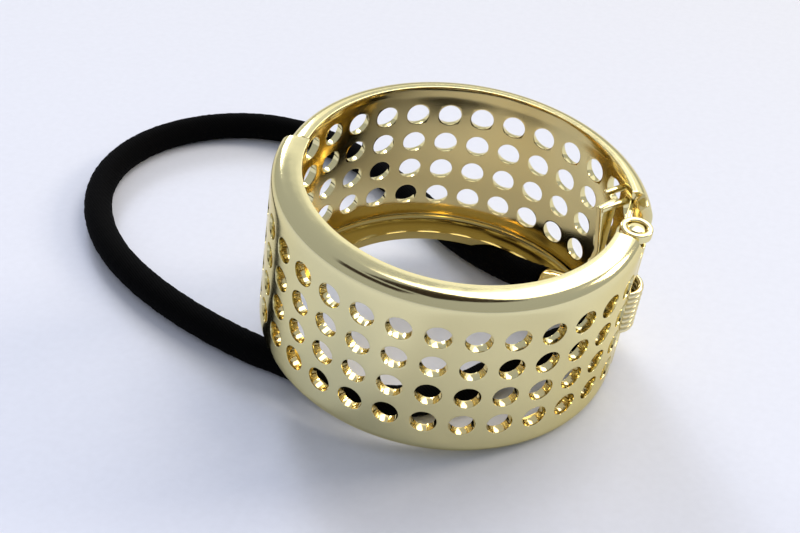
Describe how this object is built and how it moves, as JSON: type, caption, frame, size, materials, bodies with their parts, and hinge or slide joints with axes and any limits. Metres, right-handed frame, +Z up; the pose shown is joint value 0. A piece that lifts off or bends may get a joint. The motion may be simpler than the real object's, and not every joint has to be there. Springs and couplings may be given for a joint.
{
  "type": "ponytail cuff hair tie",
  "caption": "Perforated metal ponytail cuff in hinged half shells with turned-in rims and a closing coil spring, with a covered elastic loop threaded inside and laid out beside it.",
  "frame": {"origin": "centre of the metal cuff's bounding box, on the surface that the part rests on", "axes": "+Z up from that surface, with the cuff's own axis leaning 7.3 degrees from it; hinge at +X, seam at -X, front half at -Y, back half at +Y"},
  "size_m": [0.0845, 0.0691, 0.0291],
  "materials": {
    "cuff": "polished pale gold plating",
    "pin": "polished pale gold plating",
    "spring": "pale gold plated wire",
    "clamp": "polished pale gold plating",
    "elastic": "matt black braided cover"
  },
  "bodies": {
    "cuff": {"back_half": "cuff", "hinge_pin": "pin", "hinge_spring": "spring", "elastic_clamp": "clamp", "elastic_band": "elastic"},
    "front": {"front_half": "cuff"}
  },
  "joints": [
    {"name": "cuff_hinge", "type": "hinge", "parent": "cuff", "child": "front", "pos_m": [0.02111, 0.00006, 0.01204], "axis": [0.1186, -0.0455, 0.9919], "range_deg": [0, 75], "stiffness_Nm_per_rad": 0.015, "springref_deg": -34.38}
  ]
}
